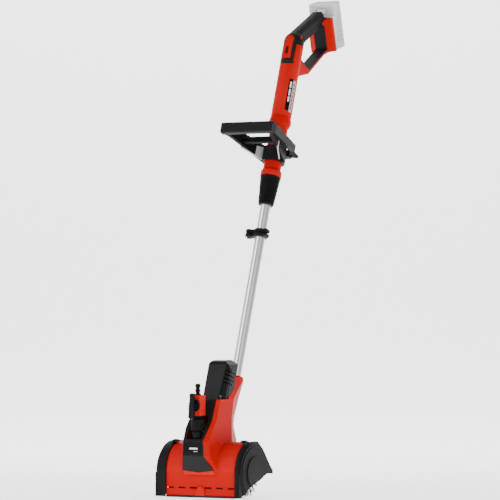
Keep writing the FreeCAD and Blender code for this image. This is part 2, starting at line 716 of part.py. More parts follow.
def valve_bonnet():
    """Round black flange on the front of the valve block."""
    flange = rod((0, VALVE_FRONT_Y, VALVE_AXIS_Z), (0, VALVE_FRONT_Y - 5, VALVE_AXIS_Z), 15.5)
    neck = rod((0, VALVE_FRONT_Y - 5, VALVE_AXIS_Z), (0, VALVE_FRONT_Y - 9, VALVE_AXIS_Z), 10)
    return joined(flange, neck).cut(spindle_bore(0.05))


def tap_handle():
    """Upright wing of the tap with its finger notches, and the spindle behind it."""
    back_y = VALVE_FRONT_Y - 9.4
    side = [(back_y, 203.5), (-127.5, 204), (-126.5, 213), (-125.0, 214), (-124.5, 224),
            (-126.0, 225), (-122.5, 246), (-121.0, 247), (-120.5, 257), (-121.5, 258),
            (-118.5, 267), (back_y, 267)]
    wing = prism_x(side, -5, 5)
    spindle = rod((0, back_y, VALVE_AXIS_Z), (0, PIPE_Y + 7, VALVE_AXIS_Z), 5.0)
    waterway = rod((0, PIPE_Y, 220), (0, PIPE_Y, 252), 3.5)
    return joined(wing, spindle).cut(waterway)


def hose_nipple():
    """Plug-in nipple on top of the valve for a garden-hose connector."""
    z0 = VALVE_Z[1]
    pieces = [
        rod((0, PIPE_Y, z0), (0, PIPE_Y, z0 + 3), 9.0),
        rod((0, PIPE_Y, z0 + 3), (0, PIPE_Y, z0 + 29), 5.6),
        cone((0, PIPE_Y, z0 + 8), (0, PIPE_Y, z0 + 11), 5.6, 7.4),
        rod((0, PIPE_Y, z0 + 11), (0, PIPE_Y, z0 + 13), 7.4),
        cone((0, PIPE_Y, z0 + 20), (0, PIPE_Y, z0 + 22), 5.6, 7.0),
        rod((0, PIPE_Y, z0 + 22), (0, PIPE_Y, z0 + 27), 7.0),
    ]
    nipple = joined(*pieces)
    return nipple.cut(rod((0, PIPE_Y, z0 - 1), (0, PIPE_Y, z0 + 40), NIPPLE_BORE_RADIUS))


NIPPLE_BORE_RADIUS = 3.5
COLLAR_Z = (170.0, 204.0)


def quick_connector():
    """Inner body of the hose connector between the valve and the water pipe."""
    lower = rod((0, PIPE_Y, 153), (0, PIPE_Y, 168), 14)
    neck = rod((0, PIPE_Y, 168), (0, PIPE_Y, 210), 10)
    seat = rod((0, PIPE_Y, 206), (0, PIPE_Y, 210), 13)
    body = joined(lower, neck, seat)
    return body.cut(rod((0, PIPE_Y, 140), (0, PIPE_Y, 220), 4.0))


def connector_collar():
    """Ribbed outer collar of the hose connector, pulled down to release the hose."""
    z0, z1 = COLLAR_Z
    pieces = [
        rod((0, PIPE_Y, z0 + 3), (0, PIPE_Y, z1 - 4), 16.5),
        cone((0, PIPE_Y, z0 + 1.5), (0, PIPE_Y, z0 + 3), 14.5, 16.5),
        cone((0, PIPE_Y, z1 - 4), (0, PIPE_Y, z1), 17.8, 14.0),
    ]
    for i in range(16):
        angle = math.radians(22.5 * i)
        x = 16.3 * math.cos(angle)
        y = PIPE_Y + 16.3 * math.sin(angle)
        pieces.append(rod((x, y, z0 + 5), (x, y, z1 - 5), 1.6))
    collar = joined(*pieces)
    return collar.cut(rod((0, PIPE_Y, 150), (0, PIPE_Y, 220), 10 + BODY_GAP))


def spray_bar():
    """Water bar across the hood's inside with its row of jets over the brush."""
    x, y, z = SPRAY_PLACE
    bar = rod((-96, y, z), (96, y, z), 4.5)
    bar = bar.cut(rod((-93, y, z), (93, y, z), 3.0))
    for i in range(6):
        place = -80 + 32 * i
        bar = bar.cut(rod((place, y, z), (place, y + 4, z - 12), 0.8))
    return bar


def water_pipe():
    """Pipe from the hose connector down and back to the spray bar."""
    pipe = joined(rod((0, PIPE_Y, 126), (0, PIPE_Y, 153), PIPE_RADIUS),
                  Part.makeSphere(PIPE_RADIUS, V(*PIPE_BEND)),
                  rod(PIPE_BEND, SPRAY_PLACE, PIPE_RADIUS))
    inside = joined(rod((0, PIPE_Y, 126), (0, PIPE_Y, 160), 2.8),
                    Part.makeSphere(2.8, V(*PIPE_BEND)),
                    rod(PIPE_BEND, SPRAY_PLACE, 2.8))
    x, y, z = SPRAY_PLACE
    return pipe.cut(inside).cut(rod((-20, y, z), (20, y, z), 4.5))


# --- Tube and what rides on it ----------------------------------------------------------
# From here on the pieces are drawn in the leaning frame (x, p, s).

SOCKET_RADIUS = 15.8          # slim part inside the tower
SOCKET_COLLAR_RADIUS = 20.0
SOCKET_COLLAR_S = 308.0
SOCKET_BOTTOM_S = 250.0
SOCKET_SCREW_S = 290.0
TUBE_BOTTOM_S = 256.0
TUBE_TOP_S = 1030.0
CLIP_S = 720.0                # middle of the hose clip
CLIP_HEIGHT = 21.0
GROOVE_DEPTH = 1.0            # guide groove along the tube
GROOVE_DEG = 38.0             # its place round the tube, from +X towards the front


def groove_bar(s0, s1, half_width, depth):
    """A bar along the tube's guide groove."""
    bar = box(TUBE_RADIUS - depth, TUBE_RADIUS + 3, -half_width, half_width, s0, s1)
    return bar.rotated(V(0, 0, 0), V(0, 0, 1), -GROOVE_DEG)


def socket_form():
    """Outer form of the tube socket: a slim body with a collar at the top."""
    body = rod((0, 0, SOCKET_BOTTOM_S), (0, 0, SOCKET_TOP_S), SOCKET_RADIUS)
    collar = rod((0, 0, SOCKET_COLLAR_S), (0, 0, SOCKET_TOP_S), SOCKET_COLLAR_RADIUS)
    boss = rod((0, 10, SOCKET_SCREW_S), (0, 19.5, SOCKET_SCREW_S), 5)
    return lean(joined(body, collar, boss))


def tube_socket():
    """Red socket in the tower that clamps the lower end of the tube."""
    bore = rod((0, 0, TUBE_BOTTOM_S), (0, 0, SOCKET_TOP_S + 5), TUBE_RADIUS)
    drain = rod((0, 0, SOCKET_BOTTOM_S - 1), (0, 0, TUBE_BOTTOM_S + 1), 8)
    return socket_form().cut(lean(joined(bore, drain))).cut(socket_screw_form(0))


def socket_screw_form(extra):
    """Outer form of the screw that holds the tube in its socket, from the rear."""
    s = SOCKET_SCREW_S
    head = rod((0, 19.5, s), (0, 22.5 + 40 * extra, s), 4.2 + extra)
    return lean(joined(head, rod((0, TUBE_RADIUS + 0.2, s), (0, 19.5, s), 2.4)))


def socket_screw():
    """Screw through the socket's boss that holds the tube."""
    recess = lean(rod((0, 21, SOCKET_SCREW_S), (0, 30, SOCKET_SCREW_S), 2.2))
    return socket_screw_form(0).cut(recess)


def aluminium_tube():
    """Aluminium tube with a shallow guide groove along it."""
    tube = ring((0, 0, TUBE_BOTTOM_S), (0, 0, TUBE_TOP_S), TUBE_RADIUS, TUBE_RADIUS - TUBE_WALL)
    return lean(tube.cut(groove_bar(SOCKET_TOP_S + 4, TUBE_TOP_S + 1, 2.0, GROOVE_DEPTH)))


def hose_clip():
    """Black clip that slides on the tube: two-ribbed ring, hose hook and closing block."""
    s0 = CLIP_S - CLIP_HEIGHT / 2
    pieces = [
        rod((0, 0, s0), (0, 0, s0 + 8), 18.5),
        rod((0, 0, s0 + 7), (0, 0, s0 + 14), 17.0),
        rod((0, 0, s0 + 13), (0, 0, s0 + 21), 18.5),
    ]
    for base in (s0, s0 + 13):
        pieces.append(box(-34, -12, -9, 5, base, base + 8))
        pieces.append(rod((-33, -2, base), (-33, -2, base + 8), 10.5))
        pieces.append(box(10, 24, -14, 4, base, base + 8))
    pieces.append(rod((-33, -2, s0 + 7), (-33, -2, s0 + 14), 9.5))
    pieces.append(box(-30, -12, -7, 3, s0 + 7, s0 + 14))
    clip = joined(*pieces)
    clip = clip.cut(rod((0, 0, s0 - 1), (0, 0, s0 + 30), TUBE_RADIUS + 0.25))
    clip = clip.cut(rod((-35, -3, s0 - 1), (-35, -3, s0 + 30), CLIP_HOOK_RADIUS))
    clip = clip.cut(box(-60, -40.5, -7, 3, s0 - 1, s0 + 30))
    slot = box(15.2, 30, -5.5, -4.3, s0 - 1, s0 + 30)
    return lean(clip.cut(slot))


CLIP_HOOK_RADIUS = 6.0


# --- Clamp nut, sleeve and auxiliary handle ---------------------------------------------

SLEEVE_BOTTOM_S = 897.0


def clamp_nut():
    """Black fluted nut, wider at the top, which closes the collet on the tube."""
    outer = cone((0, 0, NUT_BOTTOM_S + 4), (0, 0, NUT_TOP_S - 0.5), 20.8, 27.0)
    lower = cone((0, 0, NUT_BOTTOM_S), (0, 0, NUT_BOTTOM_S + 4), 18.5, 20.8)
    body = joined(outer, lower)
    for i in range(12):
        angle = math.radians(30 * i + 15)
        low = (23.4 * math.cos(angle), 23.4 * math.sin(angle), NUT_BOTTOM_S + 4)
        high = (30.0 * math.cos(angle), 30.0 * math.sin(angle), NUT_TOP_S + 4)
        body = body.cut(rod(low, high, 4.0))
    body = body.cut(rod((0, 0, NUT_BOTTOM_S - 1), (0, 0, NUT_BOTTOM_S + 12), TUBE_RADIUS + 0.4))
    body = body.cut(cone((0, 0, NUT_BOTTOM_S + 10), (0, 0, NUT_BOTTOM_S + 24), 17.0, 20.0))
    return lean(body.cut(rod((0, 0, NUT_BOTTOM_S + 24), (0, 0, NUT_TOP_S + 1), 20.0)))


def collet():
    """Slotted collet inside the nut, which grips the tube when it is squeezed."""
    taper = cone((0, 0, NUT_BOTTOM_S + 12), (0, 0, NUT_BOTTOM_S + 22), 15.9, 19.0)
    body = rod((0, 0, NUT_BOTTOM_S + 22), (0, 0, SLEEVE_BOTTOM_S - 1), 19.5)
    shape = joined(taper, body)
    shape = shape.cut(rod((0, 0, NUT_BOTTOM_S), (0, 0, NUT_TOP_S + 30), TUBE_RADIUS + 0.3))
    for i in range(4):
        slot = box(8, 30, -0.8, 0.8, NUT_BOTTOM_S, NUT_BOTTOM_S + 60)
        shape = shape.cut(slot.rotated(V(0, 0, 0), V(0, 0, 1), 90 * i + 20))
    return lean(shape)


def telescopic_sleeve():
    """Red sleeve that the tube slides into: flared lower end and two guide lands."""
    tube = ring((0, 0, SLEEVE_BOTTOM_S), (0, 0, SLEEVE_TOP_S), SLEEVE_RADIUS, SLEEVE_RADIUS - 3)
    band = rod((0, 0, NUT_TOP_S), (0, 0, NUT_TOP_S + 14), HANDLE_RADIUS)
    taper = cone((0, 0, NUT_TOP_S + 14), (0, 0, SLEEVE_BOTTOM_S + 5), HANDLE_RADIUS, SLEEVE_RADIUS)
    collar = joined(band, taper).cut(rod((0, 0, NUT_TOP_S - 1), (0, 0, SLEEVE_BOTTOM_S + 9), 19.5))
    lands = [tube, collar]
    for s in (SLEEVE_BOTTOM_S, SLEEVE_BOTTOM_S + 60):
        lands.append(ring((0, 0, s), (0, 0, s + 12), SLEEVE_RADIUS - 2, TUBE_RADIUS + 0.3))
    return lean(joined(*lands))


def upper_collar():
    """Red flared collar between the sleeve and the handle body."""
    band = rod((0, 0, SLEEVE_TOP_S), (0, 0, SLEEVE_TOP_S + 7), 29.5)
    taper = cone((0, 0, SLEEVE_TOP_S + 7), (0, 0, SLEEVE_TOP_S + 18), 29.5, 26.5)
    skirt = cone((0, 0, SLEEVE_TOP_S - 9), (0, 0, SLEEVE_TOP_S), 26.5, 29.5)
    collar = joined(band, taper, skirt)
    collar = collar.cut(rod((0, 0, SLEEVE_TOP_S - 20), (0, 0, SLEEVE_TOP_S), SLEEVE_RADIUS))
    return lean(collar.cut(rod((0, 0, SLEEVE_TOP_S), (0, 0, SLEEVE_TOP_S + 20), SLEEVE_RADIUS - 3)))


AUX_CLAMP_S = (921.0, 962.0)  # clamp of the auxiliary handle on the sleeve


def aux_bar(half_x, p, s, half_s, half_p):
    """A rounded bar across the machine, centred at (p, s)."""
    bar = box(-half_x, half_x, p - half_p, p + half_p, s - half_s, s + half_s)
    return rounded(bar, min(half_s, half_p) * 0.55, lambda edge: runs_along(edge, V(1, 0, 0)))


AUX_ARM_S = 967.0             # middle of the loop's side arms
AUX_FRONT = (-155.0, 958.0)   # middle of the front grip bar (p, s)
AUX_HALF_WIDTH = 77.0
AUX_BOLT = (39.0, 961.0)      # axis of the clamp bolt (p, s)


def aux_link(first, second):
    """A tapering arm between two upright rectangles (x0, x1, p, s0, s1)."""
    sections = []
    for x0, x1, p, s0, s1 in (first, second):
        sections.append([(x0, p, s0), (x0, p, s1), (x1, p, s1), (x1, p, s0)])
    return loft(sections)


def aux_side():
    """Left arm of the loop, its rear end and the web that carries it on the clamp."""
    p, s = AUX_FRONT
    elbow = (52, 38, 14, AUX_ARM_S - 9, AUX_ARM_S + 9)
    arm = aux_link((AUX_HALF_WIDTH, AUX_HALF_WIDTH - 17, p, s - 13, s + 14), elbow)
    end = aux_link(elbow, (27, 13, 46, AUX_ARM_S - 16, AUX_ARM_S + 3))
    web = aux_link((71, 61, p + 4, s - 12, s - 1),
                   (34, 25, 0, AUX_CLAMP_S[0] + 3, AUX_CLAMP_S[1]))
    return [arm, end, web]


def aux_handle():
    """Black loop: front grip bar, side arms, cross-bar, webs and split clamp ring."""
    p, s = AUX_FRONT
    bolt_p, bolt_s = AUX_BOLT
    pieces = [aux_bar(AUX_HALF_WIDTH, p, s, 15, 11), aux_bar(53, -87, 951.5, 8.5, 7)]
    for piece in aux_side():
        pieces.append(piece)
        pieces.append(mirror_x(piece))
    pieces.append(rod((0, 0, AUX_CLAMP_S[0]), (0, 0, AUX_CLAMP_S[1]), 31))
    pieces.append(box(-26, 26, 28, 47, bolt_s - 10, bolt_s + 9))
    pieces.append(box(-14, 14, 22, 38, AUX_CLAMP_S[0] + 14, AUX_CLAMP_S[1]))
    handle = joined(*pieces)
    handle = handle.cut(rod((0, 0, 880), (0, 0, 1010), SLEEVE_RADIUS + 0.3))
    handle = handle.cut(box(-4, 4, 20, 60, 900, 1000))
    for x0 in (-60, 26.2):
        handle = handle.cut(box(x0, x0 + 33.8, 28, 60, 920, 990))
    return lean(handle.cut(rod((-60, bolt_p, bolt_s), (60, bolt_p, bolt_s), AUX_BOLT_RADIUS + 0.15)))


AUX_BOLT_RADIUS = 3.0


def aux_inserts():
    """Pale inner plates along the webs between the cross-bar and the clamp, as a pair."""
    plate = aux_link((56.5, 53, -84, AUX_CLAMP_S[1] - 29, AUX_CLAMP_S[1] - 11),
                     (28, 24.5, -16, AUX_CLAMP_S[0] + 4, AUX_CLAMP_S[1] - 3))
    left = main_solid(lean(plate).cut(aux_handle()))
    return Part.makeCompound([left, mirror_x(left)])


def aux_lever():
    """Clamp lever with its cross bolt, which pulls the two ears of the clamp together."""
    p, s = AUX_BOLT
    bolt = rod((-30, p, s), (36, p, s), AUX_BOLT_RADIUS)
    head = rod((-30, p, s), (-26.6, p, s), 6)
    hub = rod((26.6, p, s), (36, p, s), 8.5)
    arm = prism_x([(p - 6, s - 6), (p + 5, s - 8), (p + 25, s - 1), (p + 28, s + 4),
                   (p + 23, s + 7), (p + 1, s + 8)], 27, 35)
    return lean(joined(bolt, head, hub, arm))


# --- Upper handle, drawn in the machine's frame ----------------------------------------

OPENING = [(421, 1156), (477, 1128), (580, 1192), (563, 1256), (427, 1187)]
LOOP_OUTLINE = [(392, 1112), (423.7, 1105.5), (477, 1114.5), (588, 1185), (576, 1276),
                (559.4, 1274.9), (431.6, 1209.3), (410, 1205)]
GRIP_SIDE = [(400, 1150), (620, 1230), (577, 1276), (572, 1284), (560, 1290), (545, 1290),
             (540, 1310), (400, 1250)]
GRIP_START = (431.6, 1209.3)             # axis of the grip bar, front end (y, z)
GRIP_SLOPE_DEG = 27.2
GRIP_LENGTH = 146.0
GRIP_HALF_DEPTH = 19.0
GRIP_ROUNDING = 14.0
GRIP_STRIP = [(376.5, 1138), (381.8, 1153), (397.4, 1197), (403.5, 1214), (415, 1250),
              (560, 1310), (600, 1292), (563, 1256), (427, 1187), (410, 1187), (402, 1190),
              (387.3, 1153), (382, 1138)]
BATTERY_FOOT = (598.8, 1190.0)           # lower edge of the battery's front face (y, z)
BATTERY_TILT = math.radians(BATTERY_TILT_DEG)
BATTERY_UP = (-math.sin(BATTERY_TILT), math.cos(BATTERY_TILT))
BATTERY_BACK = (math.cos(BATTERY_TILT), math.sin(BATTERY_TILT))
HOUSING_HEIGHT = 88.0
STEP_DEPTH = 10.0             # how far the battery's upper front is set back
RAIL_DEPTH = 8.0
BUTTON_UP = 105.0             # middle of the battery's release button


def battery_point(back, up):
    """(y, z) of a point given from the battery's foot, rearwards and upwards."""
    y = BATTERY_FOOT[0] + BATTERY_BACK[0] * back + BATTERY_UP[0] * up
    z = BATTERY_FOOT[1] + BATTERY_BACK[1] * back + BATTERY_UP[1] * up
    return (y, z)


def battery_block(x0, x1, back0, back1, up0, up1):
    """A box in the battery's own directions."""
    corners = [(back0, up0), (back1, up0), (back1, up1), (back0, up1)]
    return prism_x([battery_point(b, u) for b, u in corners], x0, x1)


def battery_channel():
    """The two stepped grooves in the housing that the battery's rails slide in."""
    grooves = []
    for side in (-1, 1):
        for wide, back in ((26.6, -3.4), (21.9, 1.0)):
            x0, x1 = sorted((side * 19.1, side * wide))
            grooves.append(battery_block(x0, x1, -RAIL_DEPTH - 0.5, back, 5, HOUSING_HEIGHT + 20))
    return joined(*grooves)


def terminal_space():
    """Pocket in the middle of the housing for the terminal block."""
    return battery_block(-16, 16, -6, 1, 6, 30)


def battery_housing():
    """Red flared housing behind the loop that holds the battery."""
    sections = []
    for half_x, back, low, high in ((17.9, -27, -7, HOUSING_HEIGHT - 8),
                                    (18.0, -17.6, -4.5, HOUSING_HEIGHT - 4),
                                    (34, -9, -3, HOUSING_HEIGHT - 1)):
        (y0, z0), (y1, z1) = battery_point(back, low), battery_point(back, high)
        sections.append([(-half_x, y0, z0), (half_x, y0, z0), (half_x, y1, z1), (-half_x, y1, z1)])
    flare = loft(sections)
    rear = battery_block(-34, 34, -9.5, 0, -3, HOUSING_HEIGHT)
    rim = battery_block(-BATTERY_HALF_WIDTH, BATTERY_HALF_WIDTH, -8, 0, -4, HOUSING_HEIGHT)
    body = joined(flare, rear, rim)
    body = body.cut(battery_channel()).cut(terminal_space())
    return main_solid(body.cut(lining_ring()).cut(prism_x(OPENING, -40, 40)))


def battery_terminals():
    """Terminal block in the housing, with its two contact blades."""
    block = battery_block(-16, 16, -6, -0.2, 6, 30)
    blades = [battery_block(x - 0.5, x + 0.5, -1, 3.0, 8, 24) for x in (-10, 10)]
    return joined(block, *blades)


def battery_case():
    """Battery case with its two rails, side grips and the step that holds the button."""
    top = BATTERY_LENGTH - 2
    step_up = HOUSING_HEIGHT + 3
    body = battery_block(-BATTERY_HALF_WIDTH, BATTERY_HALF_WIDTH, BODY_GAP, BATTERY_THICKNESS, -2, top)
    body = rounded(body, 7.0, lambda e: not runs_along(e, V(1, 0, 0)) and e.Length > 100)
    body = rounded(body, 4.0, lambda e: runs_along(e, V(1, 0, 0)))
    body = body.cut(battery_block(-60, 60, -5, STEP_DEPTH, step_up, top + 5))
    rails = []
    for side in (-1, 1):
        for wide, back in ((26.0, -4.0), (21.5, 3.0)):
            x0, x1 = sorted((side * 19.5, side * wide))
            rails.append(battery_block(x0, x1, -RAIL_DEPTH, back, 8.5, 80))
    body = joined(body, *rails).cut(battery_block(-14, 14, -1, 3.4, -5, 27))
    body = body.cut(battery_block(-34.5, 34.5, 5.5, BATTERY_THICKNESS - 3, 2, 84))
    body = body.cut(battery_block(-34.5, 34.5, 20, BATTERY_THICKNESS - 3, 2, top - 3))
    for side in (-1, 1):
        x = side * BATTERY_HALF_WIDTH
        for i in range(3):
            up = 20 + 12 * i
            body = body.cut(battery_block(x - 1.2, x + 1.2, 14, 38, up, up + 6))
    recess = battery_block(-16, 16, STEP_DEPTH - 1, STEP_DEPTH + 2.2, BUTTON_UP - 9, BUTTON_UP + 9)
    pocket = battery_block(-13.4, 13.4, STEP_DEPTH - 1, STEP_DEPTH + 6.6, BUTTON_UP - 7.4, BUTTON_UP + 7.4)
    return body.cut(recess).cut(pocket)


def battery_cells():
    """The five round cells inside the battery."""
    cells = []
    for back, up in ((15.5, 14), (15.5, 34), (15.5, 54), (36, 24), (36, 44)):
        y, z = battery_point(back, up)
        cells.append(rod((-32.5, y, z), (32.5, y, z), 9.2))
    return Part.makeCompound(cells)


def battery_button():
    """Release button on the set-back upper front of the battery."""
    return battery_block(-13, 13, STEP_DEPTH - 0.5, STEP_DEPTH + 3.6, BUTTON_UP - 7, BUTTON_UP + 7)


HEAD_S = 1270.0               # centre of the rounded head on the tube's axis


def handle_barrel(radius, s0, s1):
    """The round body of the handle about the tube's axis."""
    return lean(rod((0, 0, s0), (0, 0, s1), radius))


def grip_bar(half_x, half_depth, rounding):
    """A rounded bar along the grip's axis."""
    bar = box(-half_x, half_x, -8, GRIP_LENGTH, -half_depth, half_depth)
    bar = rounded(bar, rounding, lambda edge: runs_along(edge, V(0, 1, 0)))
    bar = bar.rotated(V(0, 0, 0), V(1, 0, 0), GRIP_SLOPE_DEG)
    return bar.translated(V(0, *GRIP_START))


def handle_form():
    """Outer form of the handle: barrel, rounded head, oval grip and loop."""
    barrel = handle_barrel(HANDLE_RADIUS - 0.5, SLEEVE_TOP_S + 18, HEAD_S)
    head = lean(Part.makeSphere(HANDLE_RADIUS - 0.5, V(0, 0, HEAD_S)))
    loop = prism_x(LOOP_OUTLINE, -GRIP_HALF_WIDTH, GRIP_HALF_WIDTH)
    loop = rounded(loop, 6.0, loop_edge_needs_round).cut(prism_x(OPENING, -50, 50))
    grip = grip_bar(GRIP_HALF_WIDTH, GRIP_HALF_DEPTH, GRIP_ROUNDING)
    grip = grip.common(prism_x(GRIP_SIDE, -50, 50))
    return joined(barrel, head, loop, grip).cut(battery_block(-60, 60, -0.4, 60, -40, 150))


def loop_edge_needs_round(edge):
    """Long edges along the bottom outline of the loop."""
    if runs_along(edge, V(1, 0, 0)) or edge.Length < 40:
        return False
    middle = edge.valueAt((edge.FirstParameter + edge.LastParameter) / 2)
    return middle.z < 1155 and middle.y > 440


def lining_ring():
    """Zone along the bottom and back of the opening that the black lining fills."""
    grown = [(417.5, 1154), (476.8, 1124.5), (583.6, 1190.5), (562.5, 1272), (556, 1268),
             (563, 1256), (580, 1192), (477, 1128), (421, 1156)]
    return prism_x(grown, -GRIP_HALF_WIDTH, GRIP_HALF_WIDTH)


def grip_zone():
    """Zone of the handle that the soft grip fills: top bar, side strips and front band."""
    strip = prism_x(GRIP_STRIP, -40, 40)
    band = box(-40, 40, 300, 384, 1138, 1153)
    return joined(strip, band).cut(grip_core())


def grip_core():
    """Hard core of the handle that the soft grip is moulded over."""
    bar = box(-13, 13, -30, 122, -16, 13.5)
    bar = bar.rotated(V(0, 0, 0), V(1, 0, 0), GRIP_SLOPE_DEG).translated(V(0, *GRIP_START))
    head = lean(Part.makeSphere(HANDLE_RADIUS - 2.5, V(0, 0, HEAD_S)))
    return joined(bar, handle_barrel(HANDLE_RADIUS - 2.5, SLEEVE_TOP_S, HEAD_S), head)


TRIGGER_START = (446.5, 1200.0)          # front end of the trigger, just inside the grip
TRIGGER_ALONG = (0.895, 0.446)
TRIGGER_PIVOT = (113.0, 2.5)


def trigger_point(along, up):
    """(y, z) of a point given along the grip's underside and square to it."""
    y = TRIGGER_START[0] + TRIGGER_ALONG[0] * along - TRIGGER_ALONG[1] * up
    z = TRIGGER_START[1] + TRIGGER_ALONG[1] * along + TRIGGER_ALONG[0] * up
    return (y, z)


def trigger_block(x0, x1, outline):
    """An (along, up) outline extruded from x0 to x1."""
    return prism_x([trigger_point(a, u) for a, u in outline], x0, x1)


def trigger():
    """Long trigger under the grip, with stub pivots at its rear end."""
    outline = [(0, -1), (3, -5.5), (20, -6.5), (70, -6.5), (100, -5), (117, -1), (119, 4),
               (115, 7.5), (1, 8)]
    body = trigger_block(-7, 7, outline)
    groove = trigger_block(-8, 8, [(30, 3), (80, 3), (80, 8.5), (30, 8.5)])
    body = body.cut(groove.common(box(-5, 5, 400, 600, 1100, 1300)))
    y, z = trigger_point(*TRIGGER_PIVOT)
    return joined(body, rod((-11.5, y, z), (11.5, y, z), 2.0))


def trigger_pin_space():
    """Bearing of the trigger's stub pivots in the handle core."""
    y, z = trigger_point(*TRIGGER_PIVOT)
    return rod((-12, y, z), (12, y, z), 2.0 + RUNNING_CLEARANCE)


def trigger_space():
    """Pocket in the grip for the trigger and its travel."""
    return trigger_block(-7.5, 7.5, [(-1.5, -12), (120.5, -12), (120.5, 16.5), (-1.5, 16.5)])


def switch_module():
    """Switch above the trigger, with its two contact pins."""
    body = trigger_block(-9, 9, [(16, 17.0), (66, 17.0), (66, 28), (16, 28)])
    pins = [trigger_block(x - 1, x + 1, [(66, 20), (70, 20), (70, 25), (66, 25)]) for x in (-5, 5)]
    return joined(body, *pins)


def switch_space():
    """Pocket in the grip for the switch module and its pins."""
    return trigger_block(-9, 9, [(16, 16.4), (70.5, 16.4), (70.5, 28), (16, 28)])


LOCK_OFF_PLACE = (425.5, 1208.3)


def lock_off_form(half_length, half_height, x0, x1):
    """Elongated bar across the handle, in line with the grip."""
    y, z = LOCK_OFF_PLACE
    a, b = TRIGGER_ALONG
    corners = [(-half_length, -half_height), (half_length, -half_height),
               (half_length, half_height), (-half_length, half_height)]
    outline = [(y + a * along - b * up, z + b * along + a * up) for along, up in corners]
    return prism_x(outline, x0, x1)


def lock_off_button():
    """Push button through the handle that frees the trigger."""
    button = lock_off_form(9.5, 3.4, -20.5, 20.5)
    return rounded(button, 2.5, lambda e: runs_along(e, V(1, 0, 0)))


DIAL_S = 1236.0
DIAL_COVER_S = (1214.0, 1257.0)
DIAL_RADIUS = 12.0
DIAL_P = -HANDLE_RADIUS - 0.5 + DIAL_RADIUS - 2.8


def speed_dial():
    """Ribbed thumb wheel of the speed control."""
    wheel = rod((-3.2, DIAL_P, DIAL_S), (3.2, DIAL_P, DIAL_S), DIAL_RADIUS)
    for i in range(24):
        angle = math.radians(15 * i)
        p = DIAL_P + DIAL_RADIUS * math.cos(angle)
        s = DIAL_S + DIAL_RADIUS * math.sin(angle)
        wheel = wheel.cut(rod((-4, p, s), (4, p, s), 0.7))
    return lean(joined(wheel, rod((-7, DIAL_P, DIAL_S), (7, DIAL_P, DIAL_S), 2.0)))


def dial_cover():
    """Raised red cover on the front of the handle with the window of the dial."""
    plate = box(-11, 11, -HANDLE_RADIUS - 2.4, -HANDLE_RADIUS + 5, *DIAL_COVER_S)
    plate = rounded(plate, 3.0, lambda e: runs_along(e, V(0, 1, 0)))
    plate = plate.cut(box(-3.8, 3.8, -60, 0, DIAL_S - 9.5, DIAL_S + 9.5))
    return lean(plate.cut(dial_space_local()))


def cover_seat():
    """Room for the dial's cover in the front of the handle."""
    seat = box(-11, 11, -60, -HANDLE_RADIUS + 5, *DIAL_COVER_S)
    return lean(rounded(seat, 3.0, lambda e: runs_along(e, V(0, 1, 0))))


def dial_space_local():
    """Room for the dial and bearings for its stub axle, in the leaning frame."""
    wheel = rod((-3.8, DIAL_P, DIAL_S), (3.8, DIAL_P, DIAL_S), DIAL_RADIUS + 0.6)
    axle = rod((-7.5, DIAL_P, DIAL_S), (7.5, DIAL_P, DIAL_S), 2.0 + RUNNING_CLEARANCE)
    return joined(wheel, axle)


def handle_screw_places():
    """(y, z) places of the screws that join the two handle shells."""
    low = [(s * math.sin(LEAN) + 24.0, s * math.cos(LEAN) - 8.5) for s in (1068.0, 1150.0)]
    return low + [(450, 1123)]


def handle_screws():
    """The screws that join the handle shells, driven from the right."""
    return Part.makeCompound([screw(y, z, 17) for y, z in handle_screw_places()])


def handle_shell(side):
    """One half of the barrel, head, grip core, lower arm and rear post; 1 is the left."""
    shell = handle_form().cut(grip_zone()).cut(lining_ring()).cut(battery_housing_zone())
    shell = shell.cut(handle_barrel(HANDLE_RADIUS - 4.5, SLEEVE_TOP_S + 10, 1196))
    shell = shell.cut(lean(dial_space_local()))
    shell = shell.cut(cover_seat())
    shell = shell.cut(trigger_space()).cut(switch_space()).cut(trigger_pin_space())
    shell = shell.cut(lock_off_form(10.0, 3.9, -30, 30))
    half = shell.common(box(min(side * 80, 0), max(side * 80, 0), 300, 700, 900, 1400))
    for y, z in handle_screw_places():
        if side < 0:
            half = half.cut(rod((-40, y, z), (-17, y, z), 3.7))
        half = half.cut(screw_space(y, z, 17))
    return main_solid(half)


def housing_side(back):
    """Everything under the battery housing's top, from its front edge rearwards."""
    corners = [(-27, -60), (-27, HOUSING_HEIGHT - 8), (-17.6, HOUSING_HEIGHT - 4),
               (-9.5, HOUSING_HEIGHT - 1.1), (-9.5, HOUSING_HEIGHT), (back, HOUSING_HEIGHT),
               (back, -60)]
    return prism_x([battery_point(b, u) for b, u in corners], -60, 60)


def battery_housing_zone():
    """Everything behind the rear post's parting plane."""
    return battery_block(-60, 60, -27, 60, -40, 150)


def soft_grip():
    """Black soft grip: top bar, side strips, front band and the opening's lining."""
    form = handle_form()
    grip = form.common(grip_zone()).cut(housing_side(60))
    grip = joined(grip, lining_ring().common(form))
    grip = grip.cut(trigger_space()).cut(trigger_pin_space()).cut(switch_space())
    grip = grip.cut(lock_off_form(10.0, 3.9, -30, 30)).cut(cover_seat())
    return main_solid(grip.cut(lean(dial_space_local())))


def speed_board():
    """Circuit board of the speed control inside the barrel."""
    board = box(-20, 20, 2, 3.6, 1100, 1188)
    parts = [board]
    for i in range(3):
        s = 1110 + 25 * i
        parts.append(rod((0, 3.6, s), (0, 12, s), 6 - i))
    parts.append(box(-12, 12, -4, 2, 1150, 1175))
    return lean(joined(*parts))


# --- Assembly ---------------------------------------------------------------------------

